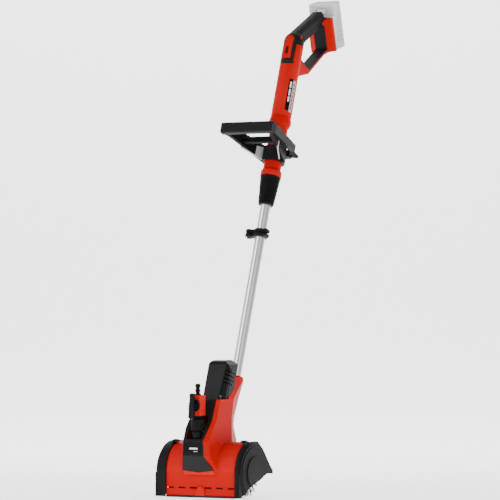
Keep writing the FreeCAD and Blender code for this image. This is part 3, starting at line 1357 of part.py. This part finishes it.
def build_nodes():
    """Every sub-part by its node name."""
    nodes = {
        "hood_shell": hood_shell(),
        "front_lip": front_lip(),
        "front_trim": front_trim(),
        "label_panel": label_panel(),
        "motor_housing": motor_housing(),
        "latch_pins": Part.makeCompound([latch_pin(), mirror_x(latch_pin())]),
        "brush_bristles": Part.makeCompound([bristles(LEFT_BRUSH_X), mirror_x(bristles(RIGHT_BRUSH_X))]),
        "tower_screws": tower_screws(),
        "plain_bearings": plain_bearings(),
        "motor_can": motor_can(),
        "drive_shaft": drive_shaft(),
        "bevel_gear": bevel_gear(),
        "layshaft": layshaft(),
        "layshaft_spur_gear": lay_spur(),
        "motor_shaft": motor_shaft(),
        "motor_rotor": rotor(),
        "cooling_fan": cooling_fan(),
        "valve_body": valve_body(),
        "valve_bonnet": valve_bonnet(),
        "tap_handle": tap_handle(),
        "hose_nipple": hose_nipple(),
        "quick_connector": quick_connector(),
        "connector_collar": connector_collar(),
        "spray_bar": spray_bar(),
        "water_pipe": water_pipe(),
        "tube_socket": tube_socket(),
        "aluminium_tube": aluminium_tube(),
        "hose_clip": hose_clip(),
        "clamp_nut": clamp_nut(),
        "collet": collet(),
        "telescopic_sleeve": telescopic_sleeve(),
        "upper_collar": upper_collar(),
        "aux_handle": aux_handle(),
        "aux_inserts": aux_inserts(),
        "aux_lever": aux_lever(),
        "battery_housing": battery_housing(),
        "battery_terminals": battery_terminals(),
        "battery_case": battery_case(),
        "battery_cells": battery_cells(),
        "battery_button": battery_button(),
        "soft_grip": soft_grip(),
        "trigger": trigger(),
        "switch_module": switch_module(),
        "lock_off_button": lock_off_button(),
        "speed_dial": speed_dial(),
        "dial_cover": dial_cover(),
        "handle_screws": handle_screws(),
        "speed_board": speed_board(),
    }
    both_sides = {
        "cap_latch": cap_latch(),
        "gear_case": gear_case(),
    }
    nodes["left_end_cap"] = end_cap(LEFT_CAP_X)
    nodes["right_end_cap"] = mirror_x(end_cap(RIGHT_CAP_X))
    nodes["left_brush_core"] = brush_core(LEFT_BRUSH_X)
    nodes["right_brush_core"] = mirror_x(brush_core(RIGHT_BRUSH_X))
    for name, shape in both_sides.items():
        nodes["left_" + name] = shape
        nodes["right_" + name] = mirror_x(shape)
    for side, word in ((1, "left_"), (-1, "right_")):
        nodes[word + "tower_shell"] = tower_shell(side)
        nodes[word + "handle_shell"] = handle_shell(side)
    return nodes


def to_reference(nodes):
    """Moves every node so that the origin is under the middle of the whole machine."""
    whole = FreeCAD.BoundBox()
    for shape in nodes.values():
        whole.add(shape.optimalBoundingBox(False))
    shift = V(-whole.Center.x, -whole.Center.y, -whole.ZMin)
    return {name: shape.translated(shift) for name, shape in nodes.items()}, shift


nodes, reference_shift = to_reference(build_nodes())
os.makedirs("parts", exist_ok=True)
for name, shape in nodes.items():
    shape.exportStep("parts/" + name + ".step")
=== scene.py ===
"""Looks of the cordless roller brush: studio, camera, materials and surface pieces.

Lengths are metres in the row's frame: +X the machine's left, -Y its front, +Z up.
Pieces on the tube and handle are placed in the leaning frame (x, p, s): s runs up the
tube's axis from the ground and p is square to it, towards the rear.
"""
import json
import math
import random

import bpy
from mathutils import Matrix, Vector


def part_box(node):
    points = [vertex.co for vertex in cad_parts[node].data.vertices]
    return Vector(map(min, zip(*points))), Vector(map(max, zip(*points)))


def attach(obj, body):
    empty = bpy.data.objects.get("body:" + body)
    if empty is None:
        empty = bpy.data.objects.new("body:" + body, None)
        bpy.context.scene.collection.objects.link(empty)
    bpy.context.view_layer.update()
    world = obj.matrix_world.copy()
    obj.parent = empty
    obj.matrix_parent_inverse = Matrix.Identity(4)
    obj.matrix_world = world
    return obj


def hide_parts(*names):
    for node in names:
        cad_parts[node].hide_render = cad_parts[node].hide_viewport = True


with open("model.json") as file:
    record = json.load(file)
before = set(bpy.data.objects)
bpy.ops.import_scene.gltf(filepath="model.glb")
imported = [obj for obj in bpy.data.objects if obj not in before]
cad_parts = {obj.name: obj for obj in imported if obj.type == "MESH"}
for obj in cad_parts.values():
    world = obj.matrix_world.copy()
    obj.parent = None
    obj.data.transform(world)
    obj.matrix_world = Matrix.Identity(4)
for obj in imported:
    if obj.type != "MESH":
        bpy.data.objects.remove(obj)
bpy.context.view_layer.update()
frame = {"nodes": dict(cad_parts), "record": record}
nodes = frame["nodes"]

LEAN = math.radians(19.5)             # tube axis from vertical
MIDDLE_X = sum(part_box("aluminium_tube")[i].x for i in (0, 1)) / 2
ROLLER_Y = sum(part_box("drive_shaft")[i].y for i in (0, 1)) / 2
ROLLER_Z = 0.060
CORE_RADIUS = 0.022
BRISTLE_RADIUS = 0.0595
BARREL_RADIUS = 0.0275
PANEL_RECESS = 0.0006                 # depth of the field in the front panel
random.seed(7)


# --- Small helpers -----------------------------------------------------------------

def leaning(x, p, s):
    """A point of the leaning frame in the row's frame."""
    y = p * math.cos(LEAN) + s * math.sin(LEAN) + ROLLER_Y
    z = s * math.cos(LEAN) - p * math.sin(LEAN)
    return Vector((x + MIDDLE_X, y, z))


def on_barrel(angle_deg, s, radius=BARREL_RADIUS):
    """A point on the round handle body; 0 degrees is the front, 90 the machine's left."""
    angle = math.radians(angle_deg)
    return leaning(radius * math.sin(angle), -radius * math.cos(angle), s)


def mesh_piece(name, points, faces, material, body, smooth=False):
    """A mesh piece that rides on a CAD body."""
    mesh = bpy.data.meshes.new(name)
    mesh.from_pydata([tuple(p) for p in points], [], faces)
    mesh.validate()
    mesh.materials.append(material)
    for polygon in mesh.polygons:
        polygon.use_smooth = smooth
    piece = bpy.data.objects.new(name, mesh)
    bpy.context.collection.objects.link(piece)
    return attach(piece, body)


def thicken(piece, depth, bevel):
    """Gives a sheet its thickness and rounds its edges."""
    solid = piece.modifiers.new("thickness", "SOLIDIFY")
    solid.thickness = depth
    solid.offset = 1.0
    edge = piece.modifiers.new("edges", "BEVEL")
    edge.width = bevel
    edge.segments = 2
    edge.limit_method = "ANGLE"


# --- Materials ---------------------------------------------------------------------

def link(tree, source, target):
    """Joins an output of one shader node to an input of another."""
    tree.links.new(source, target)


def noise(tree, scale, detail, coordinates):
    """A noise texture on object coordinates."""
    node = tree.nodes.new("ShaderNodeTexNoise")
    node.inputs["Scale"].default_value = scale
    node.inputs["Detail"].default_value = detail
    link(tree, coordinates, node.inputs["Vector"])
    return node.outputs["Fac"]


def spread(tree, factor, low, high):
    """Maps a 0-1 factor to the range low to high."""
    node = tree.nodes.new("ShaderNodeMapRange")
    node.inputs["From Min"].default_value = 0.3
    node.inputs["From Max"].default_value = 0.7
    node.inputs["To Min"].default_value = low
    node.inputs["To Max"].default_value = high
    link(tree, factor, node.inputs["Value"])
    return node.outputs["Result"]


def colour_mix(tree, factor, first, second):
    """A colour between two others."""
    node = tree.nodes.new("ShaderNodeMix")
    node.data_type = "RGBA"
    node.inputs["A"].default_value = (*first, 1)
    node.inputs["B"].default_value = (*second, 1)
    link(tree, factor, node.inputs["Factor"])
    return node.outputs["Result"]


def edge_wear(tree, low, high):
    """1 on sharp outer edges, 0 elsewhere."""
    geometry = tree.nodes.new("ShaderNodeNewGeometry")
    node = tree.nodes.new("ShaderNodeMapRange")
    node.inputs["From Min"].default_value = low
    node.inputs["From Max"].default_value = high
    link(tree, geometry.outputs["Pointiness"], node.inputs["Value"])
    return node.outputs["Result"]


def finish(name, colour, roughness, grain, bump, shade=0.12, metallic=0.0, wear=0.5,
           coat=0.0, stretch=(1, 1, 1), specular=0.5):
    """A moulded or machined surface: grain, uneven tone and gloss, and lighter edges."""
    material = bpy.data.materials.new(name)
    material.use_nodes = True
    tree = material.node_tree
    shader = tree.nodes["Principled BSDF"]
    place = tree.nodes.new("ShaderNodeTexCoord").outputs["Object"]
    mapping = tree.nodes.new("ShaderNodeMapping")
    mapping.inputs["Scale"].default_value = stretch
    link(tree, place, mapping.inputs["Vector"])
    place = mapping.outputs["Vector"]
    cloud = noise(tree, 9.0, 4.0, place)
    fine = noise(tree, grain, 3.0, place)
    darker = [c * (1 - shade) for c in colour]
    tone = colour_mix(tree, spread(tree, cloud, 0.0, 1.0), darker, colour)
    lighter = [min(1.0, c * 1.5 + 0.02) for c in colour]
    worn = tree.nodes.new("ShaderNodeMix")
    worn.data_type = "RGBA"
    worn.inputs["B"].default_value = (*lighter, 1)
    link(tree, tone, worn.inputs["A"])
    amount = tree.nodes.new("ShaderNodeMath")
    amount.operation = "MULTIPLY"
    amount.inputs[1].default_value = wear
    link(tree, edge_wear(tree, 0.52, 0.6), amount.inputs[0])
    link(tree, amount.outputs["Value"], worn.inputs["Factor"])
    link(tree, worn.outputs["Result"], shader.inputs["Base Color"])
    link(tree, spread(tree, fine, roughness - 0.06, roughness + 0.07), shader.inputs["Roughness"])
    shader.inputs["Metallic"].default_value = metallic
    shader.inputs["Specular IOR Level"].default_value = specular
    shader.inputs["Coat Weight"].default_value = coat
    shader.inputs["Coat Roughness"].default_value = 0.15
    relief = tree.nodes.new("ShaderNodeBump")
    relief.inputs["Strength"].default_value = bump
    relief.inputs["Distance"].default_value = 0.0002
    link(tree, fine, relief.inputs["Height"])
    link(tree, relief.outputs["Normal"], shader.inputs["Normal"])
    return material


RED = finish("red_moulded", (0.50, 0.003, 0.002), 0.42, 1400, 0.2, wear=0.3, specular=0.03)
BLACK = finish("black_moulded", (0.005, 0.005, 0.0055), 0.45, 1600, 0.25, wear=0.3, specular=0.06)
SATIN_BLACK = finish("satin_black", (0.004, 0.004, 0.0045), 0.30, 900, 0.1, wear=0.3,
                     specular=0.10)
RUBBER = finish("soft_grip_rubber", (0.006, 0.006, 0.0065), 0.55, 2600, 0.4, wear=0.3, specular=0.12)
GREY = finish("grey_moulded", (0.20, 0.20, 0.205), 0.45, 1500, 0.3)
PALE_GREY = finish("pale_grey_moulded", (0.42, 0.43, 0.44), 0.42, 1500, 0.3)
BATTERY = finish("battery_pale_grey", (0.56, 0.56, 0.555), 0.5, 1500, 0.25, 0.06, wear=0.9,
                 specular=0.3)
ALUMINIUM = finish("drawn_aluminium", (0.72, 0.72, 0.73), 0.30, 1200, 0.15, 0.05, 1.0,
                   stretch=(14, 14, 0.4))
DARK_STEEL = finish("blackened_steel", (0.03, 0.03, 0.031), 0.4, 1500, 0.2, 0.1, 0.6)
STEEL = finish("machined_steel", (0.55, 0.55, 0.56), 0.30, 1500, 0.2, 0.1, 1.0)
ALLOY = finish("cast_alloy", (0.52, 0.52, 0.53), 0.48, 700, 0.5, 0.15, 1.0)
BRASS = finish("bearing_bronze", (0.62, 0.42, 0.18), 0.35, 1400, 0.2, 0.15, 1.0)
COPPER = finish("winding", (0.50, 0.20, 0.07), 0.4, 900, 0.5, 0.2, 0.8, stretch=(1, 1, 6))
BOARD = finish("circuit_board", (0.03, 0.16, 0.07), 0.4, 700, 0.3)
NYLON = finish("bristle_nylon", (0.014, 0.0135, 0.013), 0.5, 900, 0.2, 0.4, specular=0.3)
WHITE = finish("badge_white", (0.80, 0.80, 0.79), 0.4, 1200, 0.1, 0.03)
SILVER = finish("badge_silver", (0.55, 0.55, 0.56), 0.35, 1300, 0.1, 0.06, 0.4)
DARK_GREY = finish("badge_dark_grey", (0.10, 0.10, 0.105), 0.4, 1300, 0.1)

FINISHES = {
    "red_plastic": RED, "black_plastic": BLACK, "soft_rubber": RUBBER,
    "panel_plastic": SATIN_BLACK, "grey_plastic": GREY, "bristle_nylon": NYLON,
    "steel": STEEL, "winding": COPPER, "bearing_brass": BRASS, "gearbox_alloy": ALLOY,
    "aluminium": ALUMINIUM, "board": BOARD, "battery_grey": BATTERY,
}
SPECIAL = {
    "motor_housing": SATIN_BLACK, "aux_inserts": PALE_GREY, "hose_nipple": BLACK,
    "collet": PALE_GREY, "latch_pins": DARK_STEEL, "tower_screws": DARK_STEEL,
    "handle_screws": DARK_STEEL, "spray_bar": BLACK, "water_pipe": BLACK,
}


def paint_nodes():
    """Gives every CAD node the material of its slot, or its own."""
    for entry in frame["record"]["subparts"]:
        name = entry["node"]
        material = SPECIAL.get(name, FINISHES[entry["material_slot"]])
        for slot in nodes[name].material_slots:
            slot.material = material
        if not nodes[name].material_slots:
            nodes[name].data.materials.append(material)


# --- Bristles ------------------------------------------------------------------------

BRISTLE_ROWS = 16
TUFT_PITCH = 0.0062                   # between tufts of one row
TUFT_SPREAD = 0.0018                  # half the width of a tuft at its root
TIP_SPREAD = 0.0025                   # how far a tip strays along the roller
STRANDS = 12                          # in one tuft
STRAND_RADIUS = 0.00050
ROOT_DEPTH = 0.001                    # how deep a strand stands in the core
END_MARGIN = 0.003                    # bare core at the inner end
HELIX_DEG_PER_M = 30.0
FIRST_ROW_DEG = -57.0


def strand(points, faces, root, tip, bend):
    """Adds one three-sided bristle with a slight bend to a mesh under construction."""
    along = (tip - root).normalized()
    side = along.orthogonal().normalized()
    other = along.cross(side)
    start = len(points)
    for share in (0.0, 0.55, 1.0):
        centre = root.lerp(tip, share) + bend * share * share
        radius = STRAND_RADIUS * (1.0 - 0.35 * share)
        for i in range(3):
            angle = 2 * math.pi * i / 3
            points.append(centre + (side * math.cos(angle) + other * math.sin(angle)) * radius)
    for level in (0, 3):
        for i in range(3):
            j = (i + 1) % 3
            faces.append((start + level + i, start + level + j, start + level + 3 + j,
                          start + level + 3 + i))
    faces.append((start + 2, start + 1, start))
    faces.append((start + 6, start + 7, start + 8))


def around_roller(x, radius, angle):
    """A point at a distance and an angle from the roller's axis."""
    return Vector((MIDDLE_X + x, ROLLER_Y + radius * math.cos(angle),
                   ROLLER_Z + radius * math.sin(angle)))


def brush_half(name, side):
    """The bristle tufts of one roller half, in rows that turn slightly along it."""
    low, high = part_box("left_brush_core" if side > 0 else "right_brush_core")
    ends = sorted(abs(x - MIDDLE_X) for x in (low.x, high.x))
    x_inner = ends[0] + END_MARGIN
    root_radius = CORE_RADIUS - ROOT_DEPTH
    count = int((ends[1] - x_inner) / TUFT_PITCH)
    points, faces = [], []
    for row in range(BRISTLE_ROWS):
        for i in range(count + 1):
            x = x_inner + i * TUFT_PITCH
            turn = FIRST_ROW_DEG + 360 / BRISTLE_ROWS * row + HELIX_DEG_PER_M * (x - x_inner)
            tuft_lean = random.uniform(-2.5, 2.5)
            for _ in range(STRANDS):
                angle = math.radians(turn + random.uniform(-3, 3))
                fan = angle + math.radians(tuft_lean + random.uniform(-3.5, 3.5))
                root_x = x + random.uniform(-TUFT_SPREAD, TUFT_SPREAD)
                tip_x = root_x + random.uniform(-TIP_SPREAD, TIP_SPREAD)
                reach = BRISTLE_RADIUS - random.uniform(0.0005, 0.0045)
                root = around_roller(side * root_x, root_radius, angle)
                tip = around_roller(side * tip_x, reach, fan)
                bend = Vector((0, math.sin(fan), -math.cos(fan))) * random.uniform(-0.001, 0.001)
                strand(points, faces, root, tip, bend)
    return mesh_piece(name, points, faces, NYLON, "roller")


def bristle_pieces():
    """Both bristle fields, which stand for the plain ring of the CAD."""
    for name, side in (("left_bristle_tufts", 1), ("right_bristle_tufts", -1)):
        tufts = brush_half(name, side)
        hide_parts("brush_bristles")


# --- Painted shade behind the hood's slots --------------------------------------------

# Painted shade: a black sheet that fills the hood's slots with the shade of the hood's inside.
SHADE_SHEET_Z = (0.014, 0.036)
SHADE_SHEET_STEPS = 52
SHADE_SHEET_SETBACK = 0.006                 # behind the hood's front
SHADE_SHEET_INSET = 0.004                   # from each end of the hood
SHADE_SHEET_RIB = 0.0006
SHADE_SHEET_THICKNESS = 0.0012


def hood_slot_shade_sheet():
    """Painted shade: a dark ribbed sheet behind the slots of the hood's front, clear of the
    bristles, that darkens the slots where the hood's inside lies in shade.
    """
    low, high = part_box("hood_shell")
    start = low.x + SHADE_SHEET_INSET
    length = high.x - low.x - 2 * SHADE_SHEET_INSET
    points, faces = [], []
    for i in range(SHADE_SHEET_STEPS + 1):
        depth = SHADE_SHEET_SETBACK + (SHADE_SHEET_RIB if i % 2 else 0.0)
        for z in SHADE_SHEET_Z:
            points.append((start + length * i / SHADE_SHEET_STEPS, low.y + depth, z))
    for i in range(SHADE_SHEET_STEPS):
        faces.append((2 * i, 2 * i + 2, 2 * i + 3, 2 * i + 1))
    # painted shade: the black sheet darkens what shows through the slots
    shade_sheet = mesh_piece("hood_slot_shade_sheet", points, faces, BLACK, "brush_head")
    solid = shade_sheet.modifiers.new("thickness", "SOLIDIFY")
    solid.thickness = SHADE_SHEET_THICKNESS


# --- Badge and marks -------------------------------------------------------------------

BADGE_S = (1.066, 1.156)
BADGE_DEG = (42.0, 66.0, 88.0)        # dark strip, then silver strip
BADGE_CORNER = 0.001
STRIP_LIFT = 0.0001                   # between the handle body and a strip
STRIP_DEPTH = 0.0004
MARK_LIFT = 0.0005
MARK_DEPTH = 0.0003
WHITE_BARS = ((0.024, 0.039), (0.042, 0.061), (0.064, 0.082))
GREY_BARS = 7
GREY_BAR_PITCH = 0.011
GREY_BAR_LENGTH = 0.007


def barrel_sheet(name, s0, s1, deg0, deg1, lift, depth, material):
    """A curved plate on the handle body, with rounded corners along its ends."""
    rows, columns = 16, 12
    points, faces = [], []
    for i in range(rows + 1):
        share = i / rows
        s = s0 + (s1 - s0) * share
        end = min(share, 1 - share) * (s1 - s0)
        short = BADGE_CORNER - min(end, BADGE_CORNER)
        inset = BADGE_CORNER - math.sqrt(BADGE_CORNER ** 2 - short ** 2)
        inset_deg = math.degrees(inset / BARREL_RADIUS)
        for j in range(columns + 1):
            angle = deg0 + inset_deg + (deg1 - deg0 - 2 * inset_deg) * j / columns
            points.append(on_barrel(angle, s, BARREL_RADIUS + lift))
    for i in range(rows):
        for j in range(columns):
            a = i * (columns + 1) + j
            faces.append((a, a + 1, a + columns + 2, a + columns + 1))
    piece = mesh_piece(name, points, faces, material, "handle", True)
    thicken(piece, depth, 0.0002)
    return piece


def badge():
    """Two-part badge on the left of the handle body: dark strip and silver strip."""
    s0, s1 = BADGE_S
    d0, d1, d2 = BADGE_DEG
    plate = barrel_sheet("badge_dark_strip", s0, s1, d0, d1, STRIP_LIFT, STRIP_DEPTH,
                         SATIN_BLACK)
    silver = barrel_sheet("badge_silver_strip", s0 - 0.002, s1 - 0.002, d1 + 0.4, d2,
                          STRIP_LIFT, STRIP_DEPTH, SILVER)
    for i, (low, high) in enumerate(WHITE_BARS):
        bar = barrel_sheet("badge_white_bar_" + str(i), s0 + low, s0 + high, d0 + 7, d1 - 7,
                           MARK_LIFT, MARK_DEPTH, WHITE)
    for i in range(GREY_BARS):
        start = s0 + 0.006 + GREY_BAR_PITCH * i
        bar = barrel_sheet("badge_grey_bar_" + str(i), start, start + GREY_BAR_LENGTH, d1 + 7,
                           d2 - 7, MARK_LIFT, MARK_DEPTH, DARK_GREY)


def panel_mark():
    """Plain raised marks in the shallow field of the front panel."""
    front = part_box("label_panel")[0].y + PANEL_RECESS
    marks = [("white", -0.0110, 0.0130, 0.1250, 0.1292, 0.0012, WHITE, "grey_plastic"),
             ("grey", 0.0010, 0.0130, 0.1190, 0.1208, 0.0008, PALE_GREY, "grey_plastic")]
    for label, x0, x1, z0, z1, radius, material, slot in marks:
        points = []
        corners = ((x1 - radius, z0 + radius, -90), (x1 - radius, z1 - radius, 0),
                   (x0 + radius, z1 - radius, 90), (x0 + radius, z0 + radius, 180))
        for x, z, start in corners:
            for k in range(5):
                angle = math.radians(start + 22.5 * k)
                points.append((MIDDLE_X + x + radius * math.cos(angle), front,
                               z + radius * math.sin(angle)))
        mark = mesh_piece("panel_mark_" + label, points, [tuple(range(len(points)))], material,
                          "brush_head")
        thicken(mark, 0.0004, 0.0001)


# --- Studio --------------------------------------------------------------------------

def area_light(name, place, target, size, power):
    """A large soft light that faces a point."""
    data = bpy.data.lights.new(name, "AREA")
    data.size = size
    data.energy = power
    lamp = bpy.data.objects.new(name, data)
    lamp.location = place
    lamp.rotation_euler = (Vector(target) - Vector(place)).to_track_quat("-Z", "Y").to_euler()
    bpy.context.collection.objects.link(lamp)


VIEW_DEG = 30                         # how far round to the left the camera stands
FLOOR_NEAR = -6.0
FLOOR_FAR = 5.0
FLOOR_CURVE = 2.0                     # radius where the floor turns up
FLOOR_TOP = 9.0
FLOOR_HALF_WIDTH = 12.0
CURVE_STEPS = 12


def floor_paper():
    """Pale paper that glows a little, so that it stays nearly white."""
    paper = finish("floor_paper", (0.90, 0.90, 0.90), 0.7, 60, 0.05, 0.02, wear=0.0)
    shader = paper.node_tree.nodes["Principled BSDF"]
    shader.inputs["Emission Color"].default_value = (1.0, 1.0, 1.0, 1)
    shader.inputs["Emission Strength"].default_value = 1.7
    return paper


def studio_floor():
    """Pale floor that runs up behind the object."""
    profile = [(FLOOR_NEAR, 0.0), (FLOOR_FAR, 0.0)]
    for i in range(1, CURVE_STEPS + 1):
        angle = math.radians(90 * i / CURVE_STEPS)
        profile.append((FLOOR_FAR + FLOOR_CURVE * math.sin(angle),
                        FLOOR_CURVE * (1 - math.cos(angle))))
    profile.append((FLOOR_FAR + FLOOR_CURVE, FLOOR_TOP))
    turn = math.radians(VIEW_DEG)
    points, faces = [], []
    for along, z in profile:
        for across in (-FLOOR_HALF_WIDTH, FLOOR_HALF_WIDTH):
            points.append((across * math.cos(turn) - along * math.sin(turn),
                           across * math.sin(turn) + along * math.cos(turn), z))
    for i in range(len(profile) - 1):
        faces.append((2 * i, 2 * i + 1, 2 * i + 3, 2 * i + 2))
    mesh = bpy.data.meshes.new("studio_floor")
    mesh.from_pydata(points, [], faces)
    for polygon in mesh.polygons:
        polygon.use_smooth = True
    mesh.materials.append(floor_paper())
    floor = bpy.data.objects.new("studio_floor", mesh)
    bpy.context.collection.objects.link(floor)


def lighting():
    """Soft light from the front, the left and above, and a lit backdrop."""
    area_light("key", (-1.8, -3.6, 3.2), (0, -0.1, 0.5), 2.2, 62)
    area_light("fill", (3.6, -2.4, 1.8), (0, -0.1, 0.5), 2.6, 30)
    area_light("top", (0.3, 0.2, 4.2), (0, 0, 0.5), 3.0, 32)
    area_light("backdrop", (-1.0, 1.6, 3.4), (-2.8, 5.6, 0.6), 3.0, 200)
    world = bpy.data.worlds.new("studio_world")
    world.use_nodes = True
    world.node_tree.nodes["Background"].inputs["Color"].default_value = (1.0, 1.0, 1.0, 1)
    world.node_tree.nodes["Background"].inputs["Strength"].default_value = 0.50
    bpy.context.scene.world = world


CAMERA_DISTANCE = 8.205
CAMERA_HEIGHT = 0.450
CAMERA_YAW_DEG = 0.627                # aim, to the right of the roller's middle
CAMERA_PITCH_DEG = 1.271


def camera():
    """Camera below the middle of the machine, round to its left."""
    azimuth = math.radians(VIEW_DEG)
    forward = Vector((-math.sin(azimuth), math.cos(azimuth), 0))
    right = Vector((math.cos(azimuth), math.sin(azimuth), 0))
    data = bpy.data.cameras.new("camera")
    data.lens = 230.4
    data.sensor_width = 36.0
    data.clip_end = 60.0
    view = bpy.data.objects.new("camera", data)
    view.location = Vector((MIDDLE_X, ROLLER_Y, CAMERA_HEIGHT)) - forward * CAMERA_DISTANCE
    aim = forward + right * math.tan(math.radians(CAMERA_YAW_DEG))
    aim = aim + Vector((0, 0, 1)) * math.tan(math.radians(CAMERA_PITCH_DEG))
    view.rotation_mode = "QUATERNION"
    view.rotation_quaternion = aim.to_track_quat("-Z", "Y")
    bpy.context.collection.objects.link(view)
    bpy.context.scene.camera = view


paint_nodes()
bristle_pieces()
# painted shade behind the hood's slots
hood_slot_shade_sheet()
badge()
panel_mark()
studio_floor()
lighting()
camera()
